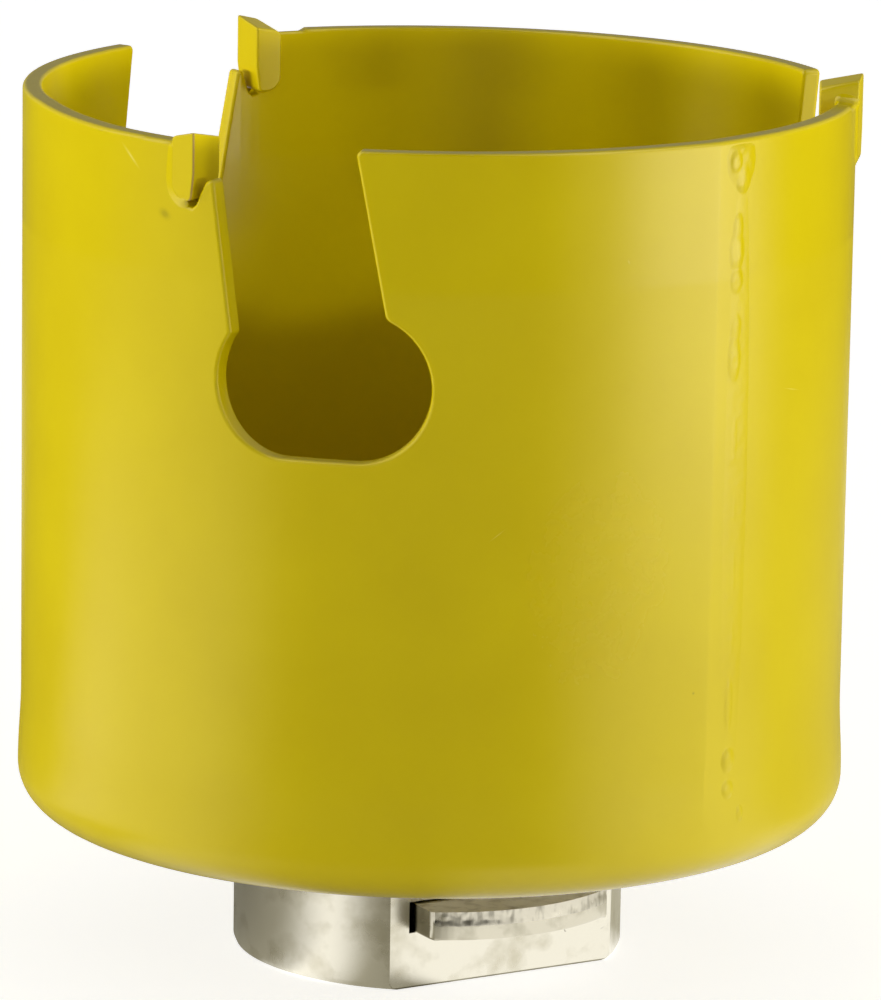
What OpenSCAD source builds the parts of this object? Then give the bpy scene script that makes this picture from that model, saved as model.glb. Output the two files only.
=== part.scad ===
// Carbide-tipped hole saw on a quick-change hub, standing mouth-up.
// The axis of the saw is Z, and the hub's lower face stands at z = 0.
// Plan angles are counted from -Y, and grow to +X, which is the way the saw cuts.

/* [Cup] */
// Outside diameter of the cup's wall
cup_d = 68; // [56:1:90]
// Height of the rim over the cup's lower edge
cup_depth = 60; // [44:1:80]
// Thickness of the rolled wall
wall_t = 1.6; // [1.2:0.1:2.2]
// Outside radius where the wall turns in at the lower edge
corner_r = 3.4; // [2.4:0.1:4.4]
// Width of the turned-in lip, from the wall's outside
lip_w = 6.5; // [5.5:0.5:8]
// How far the wall swells just over the lower corner
swell = 0.25; // [0.05:0.05:0.4]
// Height over the lower edge at which the swelling starts
swell_top = 10; // [8:1:14]
// Thickness of the base disc
base_t = 3; // [2:0.5:5]

/* [Weld seam] */
// Plan angle of the welded seam
seam_angle = 14; // [0:0.5:25]
// Width of the weld bead
seam_w = 3; // [2:0.5:4]
// Height of the weld bead over the wall
seam_h = 0.25; // [0.1:0.05:0.4]

/* [Gullets] */
// Plan angle of the left tip's leading face
left_angle = -63; // [-70:0.5:-56]
// Plan angle of the right tip's leading face
right_angle = 58; // [50:0.5:65]
// Plan angle of the back tip's leading face
back_angle = 181; // [170:0.5:190]
// Gap along the rim from a tip's leading face to its gullet
gullet_lead = 0.8; // [0.6:0.1:1.4]
// Width of the gullet's neck along the rim
neck_w = 13; // [10:0.2:14]
// Lean of the neck from upright, in degrees
neck_lean = 9.6; // [0:0.2:12]
// Radius of the round ends at the gullet's bottom
bowl_r = 5.9; // [5.4:0.1:7]
// Distance between the centres of the two round ends
bowl_spread = 5.8; // [4:0.2:7]
// Depth of the round ends' centres below the rim
bowl_depth = 18.5; // [16:0.5:24]
// How far the bottom lies ahead of the neck's middle line
bowl_shift = 0.4; // [0:0.1:1.2]

/* [Carbide tips] */
// Length of a tip along the rim
tip_len = 2.4; // [2.2:0.1:3.2]
// How far a tip overhangs the wall's outside
tip_out = 0.5; // [0.3:0.1:1]
// How far a tip overhangs the wall's inside
tip_in = 1.5; // [0.8:0.1:2]
// Depth of a tip's seat below the rim
seat_depth = 5; // [4.8:0.1:6.5]
// Depth of the upright leading face below the rim
face_depth = 2.8; // [2.2:0.1:3.4]
// How far the foot of a tip is set back from its leading face
foot_back = 0.6; // [0.5:0.1:0.9]
// Slope of a tip's top, down towards its back
top_slope = 11; // [5:1:15]
// Slope of a tip's top, down towards the cup's inside
side_slope = 11; // [5:1:15]
// Height of the left tip over the rim
left_rise = 0.5; // [0.4:0.1:2.4]
// Height of the right tip over the rim
right_rise = 1.9; // [0.4:0.1:2.4]
// Height of the back tip over the rim
back_rise = 1.3; // [0.4:0.1:2.4]
// Depth of the ground dip in the rim behind a tip
dip_depth = 0.3; // [0.1:0.05:0.5]
// Length of the ground dip behind a tip
dip_len = 3; // [2:0.5:5]

/* [Hub] */
// Diameter of the hub
hub_d = 32.4; // [30:0.2:34]
// Height of the hub below the cup's lower edge
hub_h = 12.2; // [11:0.2:16]
// Distance of the milled flat from the axis
flat_dist = 12.4; // [11.6:0.1:12.8]
// Size of the chamfer round the hub's lower edge
hub_chamfer = 0.6; // [0.3:0.1:1.2]
// Diameter of the spigot through the base disc
spigot_d = 20; // [18:0.5:22]
// Diameter of the spigot's turned-over end
collar_d = 23.6; // [23:0.2:26]
// Height of the turned-over end
collar_h = 1.4; // [1:0.1:2]
// Size of the chamfer round the turned-over end
collar_chamfer = 0.5; // [0.3:0.1:0.8]
// Width across the flats of the hexagonal arbor socket
socket_af = 11.2; // [10:0.1:12]
// Size of the lead-in chamfer at the socket's mouth
socket_chamfer = 0.6; // [0.3:0.1:1]

/* [Release plate] */
// Thickness of the stamped plate
plate_t = 2.4; // [2:0.1:2.8]
// Width of the plate
plate_w = 16.6; // [16:0.2:18]
// Height of the plate's middle over the hub's lower face
plate_z = 6; // [5:0.1:7]
// How far the plate stands out past the hub's round
plate_stand = 1.6; // [1.2:0.1:2.4]
// How far the plate can be pushed in
travel = 2; // [1.5:0.1:2.2]
// Clearance between the plate and the slot above and below it
plate_gap = 0.1; // [0.05:0.05:0.2]
// Clearance at each side of the plate
side_gap = 0.35; // [0.2:0.05:0.5]
// Clearance round the arbor in the plate's hole
arbor_gap = 0.3; // [0.2:0.05:0.5]
// Distance of the slot's end behind the axis
slot_back = 11; // [10.6:0.1:11.4]

/* [Springs and pin] */
// Outside diameter of a plate spring
spring_d = 2.2; // [1.8:0.1:2.3]
// Wire diameter of a plate spring
wire_d = 0.35; // [0.25:0.05:0.4]
// Number of turns of a plate spring
spring_turns = 7; // [5:1:8]
// Distance of each spring from the middle plane
spring_x = 5; // [4.6:0.1:5.4]
// Width left between a spring and its notch, each side
notch_gap = 0.3; // [0.2:0.1:0.4]
// Width of metal between the plate's hole and a notch
notch_web = 2; // [1.5:0.1:2.4]
// Diameter of the stop pin
pin_d = 2; // [1.6:0.1:2.2]
// Distance of the stop pin from the middle plane
pin_x = 6; // [5.8:0.1:6.2]
// Distance of the stop pin in front of the axis
pin_front = 9; // [8.6:0.1:9.2]
// Clearance round the pin in the plate's slot
pin_gap = 0.1; // [0.05:0.05:0.15]
// Wall of the rolled stop pin
pin_wall = 0.4; // [0.3:0.05:0.5]
// Depth of the pin's lower end above the hub's face
pin_sink = 0.3; // [0.2:0.1:0.6]
// Depth to which the pin enters the hub over the plate's slot
pin_bite = 2.2; // [1.5:0.1:3]

/* [Hidden] */
$fn = 96;

wall_r = cup_d / 2;
inner_r = wall_r - wall_t;
edge_z = hub_h;                       // the cup's lower edge
disc_z = edge_z + wall_t;             // the base disc rests on the lip
rim_z = edge_z + cup_depth;
corner_steps = 8;
swell_steps = 6;
cut_r0 = inner_r - tip_in - 1;        // cuts through the wall start inside it
cut_r1 = wall_r + tip_out + 2;        // and end outside it
over = 2;                             // cuts run this far past the rim
seam_end = 0.4;                       // the weld bead is ground off this far below the rim
flat_lift = 0.05;                     // a gullet's straight bottom lies just inside its round ends

hub_r = hub_d / 2;
hub_top = disc_z + base_t;            // upper face of the base disc
plate_low = plate_z - plate_t / 2;
slot_low = plate_low - plate_gap;
slot_high = plate_low + plate_t + plate_gap;
slot_w = plate_w + 2 * side_gap;
arbor_r = socket_af / 2 / cos(30);    // corners of a hexagonal arbor
plate_hole_r = arbor_r + arbor_gap;
plate_tail = slot_back - travel - side_gap;
notch_w = spring_d + 2 * notch_gap;
notch_front = sqrt(pow(plate_hole_r, 2) - pow(spring_x - notch_w / 2, 2)) - travel + notch_web;
spring_len = slot_back - notch_front;
pin_slot_r = pin_d / 2 + pin_gap;

// Degrees that an arc of length s covers on the wall
function turn(s) = s / wall_r * 180 / PI;

// Place of a gullet's edge at depth d, when it starts at s on the rim
function lean(s, d) = s + d * tan(neck_lean);

// Points of an arc round c, from angle a to angle b
function arc(c, r, a, b, steps) =
    [for (i = [0 : steps]) c + r * [cos(a + (b - a) * i / steps), sin(a + (b - a) * i / steps)]];

// Outline drawn on the tangent plane at plan angle a, pushed through the wall along the radius
module through_wall(a, outline) {
    rotate([0, 0, a]) translate([0, -cut_r0, 0]) rotate([90, 0, 0])
        linear_extrude(cut_r1 - cut_r0) polygon(outline);
}

// Section of the rolled wall, from the rim down to the turned-in lip
module wall_section() {
    swell_low = edge_z + corner_r;
    swell_rise = edge_z + swell_top - swell_low;
    polygon(concat(
        [[inner_r, rim_z], [wall_r, rim_z]],
        [for (i = [0 : swell_steps])
            let (u = i / swell_steps)
            [wall_r + swell * (1 - cos(180 * u)) / 2, edge_z + swell_top - swell_rise * u]],
        arc([wall_r + swell - corner_r, swell_low], corner_r, 0, -90, corner_steps),
        [[wall_r - lip_w, edge_z], [wall_r - lip_w, disc_z]],
        arc([wall_r - corner_r, swell_low], corner_r - wall_t, -90, 0, corner_steps)));
}

// Low weld bead that stands on the outside of the wall
module weld_bead() {
    bead_r = (pow(seam_w / 2, 2) + pow(seam_h, 2)) / (2 * seam_h);
    bead_low = edge_z + 0.8 * swell_top;
    bead_h = rim_z - seam_end - bead_low;
    rotate([0, 0, seam_angle]) difference() {
        translate([0, -(wall_r + seam_h - bead_r), bead_low]) cylinder(r = bead_r, h = bead_h);
        translate([0, 0, bead_low - 1]) cylinder(r = wall_r - wall_t / 2, h = cup_depth + 2);
    }
}

// Keyhole gullet ahead of the tip at plan angle a
module gullet(a) {
    right = gullet_lead + neck_w;
    half = neck_w * 0.55;
    left_mid = lean(gullet_lead, bowl_depth / 2);
    right_mid = lean(right, bowl_depth / 2);
    bowl_mid = lean(gullet_lead + neck_w / 2, bowl_depth) + bowl_shift;
    bowl_z = rim_z - bowl_depth;
    // Both edges of the neck are cut square to the wall
    through_wall(a + turn(left_mid), [
        [lean(gullet_lead, -over) - left_mid, rim_z + over],
        [lean(gullet_lead, bowl_depth) - left_mid, bowl_z],
        [half, bowl_z], [half, rim_z + over]]);
    through_wall(a + turn(right_mid), [
        [-half, rim_z + over], [-half, bowl_z],
        [lean(right, bowl_depth) - right_mid, bowl_z],
        [lean(right, -over) - right_mid, rim_z + over]]);
    // The bottom has two round ends, each square to the wall where it reaches furthest
    for (side = [-1, 1])
        rotate([0, 0, a + turn(bowl_mid + side * (bowl_spread / 2 + bowl_r))])
            translate([-side * bowl_r, -cut_r0, bowl_z]) rotate([90, 0, 0])
                cylinder(r = bowl_r, h = cut_r1 - cut_r0);
    through_wall(a + turn(bowl_mid), [
        [-bowl_spread / 2, bowl_z - bowl_r + flat_lift], [bowl_spread / 2, bowl_z - bowl_r + flat_lift],
        [bowl_spread / 2, bowl_z + bowl_r - flat_lift], [-bowl_spread / 2, bowl_z + bowl_r - flat_lift]]);
}

foot_z = rim_z - seat_depth;
heel_cut = 0.8;                       // the seat's lower back corner is cut off by this much
back_bevel = 0.7;                     // length of the bevel at the back of a tip's top
pocket_back = foot_back - 0.35;       // braze pocket ahead of the tip's foot
ledge_z = rim_z - face_depth - 0.5;   // top of the wall's corner ahead of the tip
ledge_round = 0.6;

// Notch in the wall's corner that takes a tip
module tip_seat(a) {
    ledge_s = lean(gullet_lead, face_depth);
    through_wall(a, [
        [-tip_len, rim_z + over], [-tip_len, foot_z + heel_cut],
        [-tip_len + heel_cut, foot_z], [-pocket_back, foot_z],
        [ledge_s - ledge_round, ledge_z], [ledge_s + ledge_round / 2, ledge_z - ledge_round],
        [ledge_s + over, ledge_z - ledge_round], [ledge_s + over, rim_z + over]]);
}

// Shallow ground dip in the rim behind a tip
module rim_dip(a) {
    through_wall(a, [
        [-tip_len / 2, rim_z + over], [-tip_len / 2, rim_z - dip_depth],
        [-tip_len - dip_len, rim_z - dip_depth],
        [-tip_len - dip_len - 2 * (dip_depth + over), rim_z + over]]);
}

module saw_wall() {
    color("gold") difference() {
        union() {
            rotate_extrude() wall_section();
            weld_bead();
        }
        for (a = [left_angle, right_angle, back_angle]) {
            gullet(a);
            tip_seat(a);
            rim_dip(a);
        }
    }
}

module base_disc() {
    bevel = corner_r - wall_t;        // clears the inside of the rolled corner
    color("goldenrod") difference() {
        union() {
            translate([0, 0, disc_z]) cylinder(r1 = inner_r - bevel, r2 = inner_r, h = bevel);
            translate([0, 0, disc_z + bevel]) cylinder(r = inner_r, h = base_t - bevel);
        }
        translate([0, 0, disc_z - 1]) cylinder(d = spigot_d, h = base_t + 2);
    }
}

// Carbide tip whose leading face stands at plan angle a, rising over the rim by rise
module carbide_tip(a, rise) {
    color("khaki") rotate([0, 0, a]) difference() {
        translate([0, -(inner_r - tip_in), 0]) rotate([90, 0, 0])
            linear_extrude(tip_in + wall_t + tip_out) polygon([
                [0, rim_z + rise], [0, rim_z - face_depth],
                [-foot_back, foot_z], [-tip_len + heel_cut, foot_z],
                [-tip_len, foot_z + heel_cut], [-tip_len, rim_z - dip_depth],
                [-tip_len + back_bevel, rim_z + rise]]);
        // The ground top falls away from its leading outer corner
        translate([0, -(wall_r + tip_out), rim_z + rise]) rotate([-side_slope, -top_slope, 0])
            translate([-2 * tip_len, -tip_len, 0]) cube([3 * tip_len, 4 * tip_len, tip_len]);
    }
}

module hub_body() {
    color("silver") difference() {
        union() {
            cylinder(r1 = hub_r - hub_chamfer, r2 = hub_r, h = hub_chamfer);
            translate([0, 0, hub_chamfer]) cylinder(r = hub_r, h = disc_z - hub_chamfer);
            translate([0, 0, disc_z]) cylinder(d = spigot_d, h = base_t);
            translate([0, 0, hub_top]) cylinder(d = collar_d, h = collar_h - collar_chamfer);
            translate([0, 0, hub_top + collar_h - collar_chamfer])
                cylinder(d1 = collar_d, d2 = collar_d - 2 * collar_chamfer, h = collar_chamfer);
        }
        // Milled flat
        translate([-hub_r, -hub_r - 1, -1]) cube([hub_d, hub_r + 1 - flat_dist, disc_z + 1]);
        // Hexagonal arbor socket with its lead-in
        translate([0, 0, -1]) cylinder(r = arbor_r, h = hub_top + collar_h + 2, $fn = 6);
        translate([0, 0, -0.01]) cylinder(r1 = arbor_r + socket_chamfer, r2 = arbor_r,
            h = socket_chamfer);
        // Slot for the release plate
        translate([-slot_w / 2, -hub_r, slot_low])
            cube([slot_w, hub_r + slot_back, slot_high - slot_low]);
        // Blind hole for the stop pin
        translate([pin_x, -pin_front, -1]) cylinder(d = pin_d, h = slot_high + pin_bite + 1);
    }
}

// The plate at rest, pushed out against its stop pin
module release_slide() {
    color("gainsboro") translate([0, 0, plate_low]) difference() {
        intersection() {
            translate([0, -plate_stand, 0]) cylinder(r = hub_r, h = plate_t);
            translate([-plate_w / 2, -hub_d, 0]) cube([plate_w, hub_d + plate_tail, plate_t]);
        }
        translate([0, -travel, -1]) cylinder(r = plate_hole_r, h = plate_t + 2);
        // Slot that the stop pin runs in
        for (y = [-travel, 0])
            translate([pin_x, -pin_front + y, -1]) cylinder(r = pin_slot_r, h = plate_t + 2);
        translate([pin_x - pin_slot_r, -pin_front - travel, -1])
            cube([2 * pin_slot_r, travel, plate_t + 2]);
        // Notches that hold the springs
        for (side = [-1, 1])
            translate([side * spring_x - notch_w / 2, notch_front, -1])
                cube([notch_w, plate_tail, plate_t + 2]);
    }
}

wire_sides = 8;
turn_steps = 16;

// Height of the wire's middle along the spring, with a closed turn at each end
function coil_y(t) =
    let (open_len = spring_len - 3 * wire_d, open_turns = spring_turns - 2)
    t < 1 ? wire_d / 2 + t * wire_d :
    t > spring_turns - 1 ? spring_len - wire_d / 2 - (spring_turns - t) * wire_d :
    1.5 * wire_d + (t - 1) * open_len / open_turns;

// Compression spring at distance x from the middle plane, lying along Y
module slide_spring(x) {
    mean_r = (spring_d - wire_d) / 2;
    rings = spring_turns * turn_steps;
    points = [for (i = [0 : rings], k = [0 : wire_sides - 1])
        let (t = i / turn_steps, a = 360 * t, b = 360 * k / wire_sides,
            r = mean_r + wire_d / 2 * cos(b))
        [r * cos(a), coil_y(t) + wire_d / 2 * sin(b), r * sin(a)]];
    sides = [for (i = [0 : rings - 1], k = [0 : wire_sides - 1])
        let (n = (k + 1) % wire_sides)
        [i * wire_sides + k, i * wire_sides + n, (i + 1) * wire_sides + n, (i + 1) * wire_sides + k]];
    ends = [[for (k = [wire_sides - 1 : -1 : 0]) k], [for (k = [0 : wire_sides - 1]) rings * wire_sides + k]];
    color("slategray") translate([x, notch_front, plate_z]) polyhedron(points, concat(sides, ends));
}

// Rolled spring pin, pressed up through the hub and across the plate's slot
module stop_pin() {
    color("dimgray") difference() {
        translate([pin_x, -pin_front, pin_sink]) cylinder(d = pin_d, h = slot_high + pin_bite - pin_sink);
        translate([pin_x, -pin_front, -1]) cylinder(d = pin_d - 2 * pin_wall, h = hub_top);
        translate([pin_x, -pin_front - pin_wall / 2, -1]) cube([pin_d, pin_wall, hub_top]);
    }
}

saw_wall();
base_disc();
carbide_tip(left_angle, left_rise);  // tip_left
carbide_tip(right_angle, right_rise);  // tip_right
carbide_tip(back_angle, back_rise);  // tip_back
hub_body();
release_slide();
slide_spring(-spring_x);  // slide_spring_left
slide_spring(spring_x);  // slide_spring_right
stop_pin();
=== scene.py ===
# %% [markdown]
# A painted hole saw on a nickel-plated hub
#
# A hole saw is a steel strip, punched, rolled into a cup and welded shut. Three hard tips are
# brazed to its rim, and a turned hub with a spring-loaded plate holds it on an arbor. This lesson
# dresses the measured solids of such a saw. The pieces that carry its look are modelled here again,
# with the rounded, painted edges of the real one, and each goes exactly where its solid is.

# %% Load the frame
import math

import bmesh
import bpy
from mathutils import Matrix, Vector, noise


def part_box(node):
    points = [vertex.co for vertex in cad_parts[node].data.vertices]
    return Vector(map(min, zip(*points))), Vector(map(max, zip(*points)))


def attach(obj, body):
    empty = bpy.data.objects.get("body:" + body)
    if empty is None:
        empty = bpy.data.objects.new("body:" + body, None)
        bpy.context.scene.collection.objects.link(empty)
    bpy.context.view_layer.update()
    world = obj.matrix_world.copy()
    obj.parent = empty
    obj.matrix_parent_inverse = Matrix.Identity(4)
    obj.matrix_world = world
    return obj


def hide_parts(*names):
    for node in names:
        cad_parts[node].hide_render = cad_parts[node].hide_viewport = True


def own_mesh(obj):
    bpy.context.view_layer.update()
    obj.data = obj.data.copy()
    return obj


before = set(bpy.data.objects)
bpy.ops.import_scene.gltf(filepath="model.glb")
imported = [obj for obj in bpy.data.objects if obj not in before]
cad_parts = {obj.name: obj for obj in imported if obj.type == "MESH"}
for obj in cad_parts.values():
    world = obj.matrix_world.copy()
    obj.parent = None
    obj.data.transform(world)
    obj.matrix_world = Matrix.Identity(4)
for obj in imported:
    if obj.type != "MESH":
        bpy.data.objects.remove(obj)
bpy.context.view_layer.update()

bpy.ops.object.select_all(action="DESELECT")

# %% [markdown]
# A colour is written as the hex value that a painter would read off a screen, and one function turns
# it into the linear light that the renderer works with. Shader nodes are added by one function too.
# It takes a node's inputs in order or by name, and an input gets a value, or a link from another
# node's output. Paint comes in layers, so a loop lays one colour over another.

# %% Helpers for colours and nodes
MM = 0.001


def linear(hex_value):
    """Linear RGBA of an sRGB hex colour."""
    parts = [int(hex_value[i:i + 2], 16) / 255 for i in (1, 3, 5)]
    return [c / 12.92 if c < 0.04045 else ((c + 0.055) / 1.055) ** 2.4 for c in parts] + [1]


def add(tree, kind, inputs=(), **settings):
    """Adds a node with its settings, and sets or links its inputs."""
    node = tree.nodes.new(kind)
    for name, setting in settings.items():
        setattr(node, name, setting)
    for socket, value in inputs.items() if isinstance(inputs, dict) else enumerate(inputs):
        if isinstance(value, bpy.types.NodeSocket):
            tree.links.new(value, node.inputs[socket])
        else:
            node.inputs[socket].default_value = value
    return node


def lay_over(tree, tint, layers):
    """Lays colours over a first one, each as thickly as its factor says."""
    for factor, colour in layers:
        mixed = add(tree, "ShaderNodeMix", {0: factor, 6: tint, 7: colour}, data_type="RGBA")
        tint = mixed.outputs[2]
    return tint


print("middle grey in linear light:", round(linear("#808080")[0], 3))

# %% [markdown]
# Modelling in code means choosing first, as a hand would: a piece, and then its edges or faces, by
# where they are or which way they look. An operator such as bevel or bisect then acts on what is
# chosen.

# %% Helpers for choosing
TINY = 0.01 * MM


def choose(piece):
    """Makes a piece the only one selected, and the active one."""
    bpy.ops.object.select_all(action="DESELECT")
    piece.select_set(True)
    bpy.context.view_layer.objects.active = piece


def start_edit(piece, mode="EDGE"):
    """Opens a piece in edit mode."""
    choose(piece)
    bpy.ops.object.mode_set(mode="EDIT")
    bpy.ops.mesh.select_mode(type=mode)


def end_edit():
    bpy.ops.object.mode_set(mode="OBJECT")


def pick(piece, kind, test):
    """Selects the verts, edges or faces that pass a test, and says how many there are."""
    mesh = bmesh.from_edit_mesh(piece.data)
    for part in (*mesh.verts, *mesh.edges, *mesh.faces):
        part.select = False
    found = [part for part in getattr(mesh, kind) if test(part)]
    for part in found:
        part.select_set(True)
    bmesh.update_edit_mesh(piece.data)
    return len(found)


def everywhere(part, test):
    """True if every corner of an edge or face passes a test of its place."""
    return all(test(vertex.co) for vertex in part.verts)


def is_sharp(edge, degrees):
    """True if the two faces at an edge meet at more than an angle."""
    return edge.calc_face_angle(0) > math.radians(degrees)


# %% [markdown]
# Steel is shaped by a few ways of cutting, again and again. A plane cuts like a grinding wheel, and
# a whole solid cuts like a drill or a milling cutter, when a boolean modifier takes its shape out of
# the piece. Edges are never quite sharp on real things, so they are bevelled.

# %% Helpers for shaping
ACROSS, UPWARDS = Vector((1, 0, 0)), Vector((0, 0, 1))


def round_edges(piece, label, test, size, segments, clamp=True):
    """Bevels the edges that pass a test."""
    print(label, pick(piece, "edges", test))
    bpy.ops.mesh.bevel(offset=size, segments=segments, affect="EDGES", clamp_overlap=clamp)


def slice_mesh(point, normal, keep_all=True):
    """Cuts the mesh in edit mode along a plane, and clears what lies past it unless all is kept."""
    bpy.ops.mesh.select_all(action="SELECT")
    bpy.ops.mesh.bisect(plane_co=point, plane_no=Vector(normal).normalized(), threshold=1e-6,
                        use_fill=not keep_all, clear_outer=not keep_all)


def slice_along(axis, start, stop, step):
    """Slices the mesh in edit mode at even steps along an axis, before it reaches the stop."""
    place = start
    while (stop - place) * step > 0:
        slice_mesh(axis * place, axis)
        place += step


def trim(point, normal):
    """Cuts off what lies past a plane."""
    slice_mesh(point, normal, keep_all=False)


def face_outwards():
    """Turns all faces of the mesh in edit mode outwards."""
    bpy.ops.mesh.select_all(action="SELECT")
    bpy.ops.mesh.normals_make_consistent(inside=False)


def from_points(name, points, edges=(), faces=()):
    """A new object, made from points and the edges or faces between them."""
    mesh = bpy.data.meshes.new(name)
    mesh.from_pydata(points, edges, faces)
    piece = bpy.data.objects.new(name, mesh)
    bpy.context.scene.collection.objects.link(piece)
    return piece


def add_box(low, high):
    """A box between two corners."""
    low, high = Vector(low), Vector(high)
    bpy.ops.mesh.primitive_cube_add(size=1, location=(low + high) / 2, scale=high - low)
    return bpy.context.object


def use(piece, kind, **settings):
    """Adds a modifier to a piece and applies it."""
    modifier = piece.modifiers.new(kind.title(), kind)
    for name, value in settings.items():
        setattr(modifier, name, value)
    choose(piece)
    bpy.ops.object.modifier_apply(modifier=modifier.name)


def cut(piece, tool):
    """Cuts a tool's shape out of a piece, and throws the tool away."""
    use(piece, "BOOLEAN", operation="DIFFERENCE", solver="EXACT", object=tool)
    bpy.data.objects.remove(tool)


def drill(piece, radius, middle, depth, sides=64, turn=0):
    """Cuts a hole along Z out of a piece: round, or with few flat sides."""
    bpy.ops.mesh.primitive_cylinder_add(vertices=sides, radius=radius, depth=depth, location=middle,
                                        rotation=(0, 0, turn))
    cut(piece, bpy.context.object)


# %% [markdown]
# A finished piece is smoothed, painted and put in the frame in place of its solid. Its place goes
# into its mesh, so that the patterns of its paint stay where they are when it moves.

# %% Helpers for finishing
def finish_piece(name, piece, body, material, nodes=(), angle=35):
    """Names a piece, smooths it and puts it in the frame."""
    piece.name = name
    choose(piece)
    bpy.ops.object.transform_apply()
    bpy.ops.object.shade_smooth_by_angle(angle=math.radians(angle))
    use(piece, "WEIGHTED_NORMAL", keep_sharp=True)
    piece.data.materials.clear()
    piece.data.materials.append(material)
    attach(piece, body)
    if nodes:
        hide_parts(*nodes)
    print(name, len(piece.data.vertices), "vertices")
    return piece


def paint_faces(piece, material, test):
    """Gives another material to the faces that pass a test."""
    piece.data.materials.append(material)
    for face in piece.data.polygons:
        if test(face):
            face.material_index = len(piece.data.materials) - 1


# %% [markdown]
# The camera comes first. It stands a little over half a metre away, low enough to see the cup's
# whole side and high enough to look just over the rim. Its lens is long, so the rim's ellipse is
# nearly the same at the front and at the back.

# %% Camera
IMAGE_W, IMAGE_H = 881, 1000
FOCAL_PX = 6803
CAMERA_AZIMUTH = math.radians(-29.5)      # counted from -Y towards +X
CAMERA_BACK = 549.4 * MM                  # distance from the saw's axis
CAMERA_UP = 157.8 * MM                    # height over the bench
AIM_RIGHT = 0.58 * MM
AIM_UP = 37.6 * MM
CAMERA_ROLL = math.radians(0.92)

camera_data = bpy.data.cameras.new("camera")
camera = bpy.data.objects.new("camera", camera_data)
bpy.context.scene.collection.objects.link(camera)
bpy.context.scene.camera = camera
turn_view = Matrix.Rotation(CAMERA_AZIMUTH, 4, "Z")
camera_place = turn_view @ Vector((0, -CAMERA_BACK, CAMERA_UP))
look = (turn_view @ Vector((AIM_RIGHT, 0, AIM_UP)) - camera_place).normalized()
level_right = look.cross(UPWARDS).normalized()
level_up = level_right.cross(look)
right = level_right * math.cos(CAMERA_ROLL) + level_up * math.sin(CAMERA_ROLL)
up = right.cross(look)
camera_turn = Matrix((right, up, -look)).transposed().to_4x4()
camera.matrix_world = Matrix.Translation(camera_place) @ camera_turn
camera_data.sensor_width = 36
camera_data.lens = camera_data.sensor_width * FOCAL_PX / max(IMAGE_W, IMAGE_H)
print("lens", round(camera_data.lens, 1), "mm")

# %% [markdown]
# Every size is read from the solids or kept here as a real length. The cup's wall is 1.6 mm thick,
# and its outside swells by a quarter of a millimetre just above the rounded lower edge.

# %% Sizes
wall_low, wall_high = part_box("saw_wall")
disc_low, disc_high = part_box("base_disc")
hub_low, hub_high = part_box("hub_body")
plate_low, plate_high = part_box("release_slide")
SWELL = 0.25 * MM
SWELL_TOP = 10 * MM          # the swelling starts this far over the lower edge
WALL_T = 1.6 * MM
CORNER_R = 3.4 * MM          # the wall turns in under the cup with this radius
LIP_W = 6.5 * MM             # the turned-in lip reaches this far in from the cup's side
SEAM_ANGLE = math.radians(14)      # angles round the cup are counted from -Y towards +X
TIP_ANGLES = {"tip_left": -63, "tip_right": 58, "tip_back": 181}
wall_r = wall_high.x - SWELL
edge_z = wall_low.z
rim_z = wall_high.z
girth = 2 * math.pi * wall_r
straight = rim_z - edge_z - CORNER_R          # length of wall above the rounded edge
strip_h = straight + CORNER_R * math.pi / 2 + LIP_W - CORNER_R
print("wall radius", round(wall_r / MM, 2), "mm")
print("strip", round(girth / MM, 1), "x", round(strip_h / MM, 1), "mm")

# %% [markdown]
# The wall is made as the factory makes it. A flat strip is punched, its edges are rounded while it
# is still flat and easy to select, and then it is rolled. On the flat strip, X runs round the cup
# from the weld, Z runs down from the rim, and Y is the depth below the painted outside. Cutting a
# finished tube would leave slanting slot walls, where a punched strip has square ones. The strip's
# ends stay a little straight when it is rolled, so a low crest stands beside the weld.

# %% Roll a flat point into the cup
CREST_AT = -2.3 * MM
CREST_H = 0.22 * MM
CREST_LEFT = 7 * MM
CREST_RIGHT = 6 * MM


def crest(along):
    """Height of the crest beside the weld, at a place along the strip."""
    off = (along - CREST_AT + girth / 2) % girth - girth / 2
    near = 1 - abs(off) / (CREST_LEFT if off < 0 else CREST_RIGHT)
    return CREST_H * max(0, near) ** 2


def roll(point):
    """Where a point of the flat strip ends up on the cup."""
    along, depth, down = point.x, point.y, -point.z
    if down <= straight:
        u = max(0, (down - (rim_z - edge_z - SWELL_TOP)) / (SWELL_TOP - CORNER_R))
        swelling = SWELL * (1 - math.cos(math.pi * u)) / 2
        radius = wall_r + swelling + crest(along) * (1 - u) - depth
        height = rim_z - down
    else:
        swing = min(math.pi / 2, (down - straight) / CORNER_R)
        past = down - straight - CORNER_R * swing
        arm = CORNER_R - depth
        radius = wall_r + SWELL - CORNER_R + arm * math.cos(swing) - past
        height = edge_z + CORNER_R - arm * math.sin(swing)
    turned = SEAM_ANGLE + along / wall_r
    return Vector((radius * math.sin(turned), -radius * math.cos(turned), height))


def roll_mesh(piece):
    for vertex in piece.data.vertices:
        vertex.co = roll(vertex.co)


print("the weld's top is at", [round(v / MM, 1) for v in roll(Vector((0, 0, 0)))], "mm")

# %% [markdown]
# A punch with sharp corners would crack, and so would the saw, so every corner of the outline is an
# arc. Each arc is worked out from its radius and from the lines that it joins. A size can then be
# changed without drawing anything again.

# %% Arcs and rounded corners
BOWL_R = 5.9 * MM


def arc(middle, radius, start, stop, steps=30):
    """Points on an arc between two angles in radians."""
    angles = [start + (stop - start) * i / steps for i in range(steps + 1)]
    return [(middle[0] + radius * math.cos(a), middle[1] + radius * math.sin(a)) for a in angles]


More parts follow.
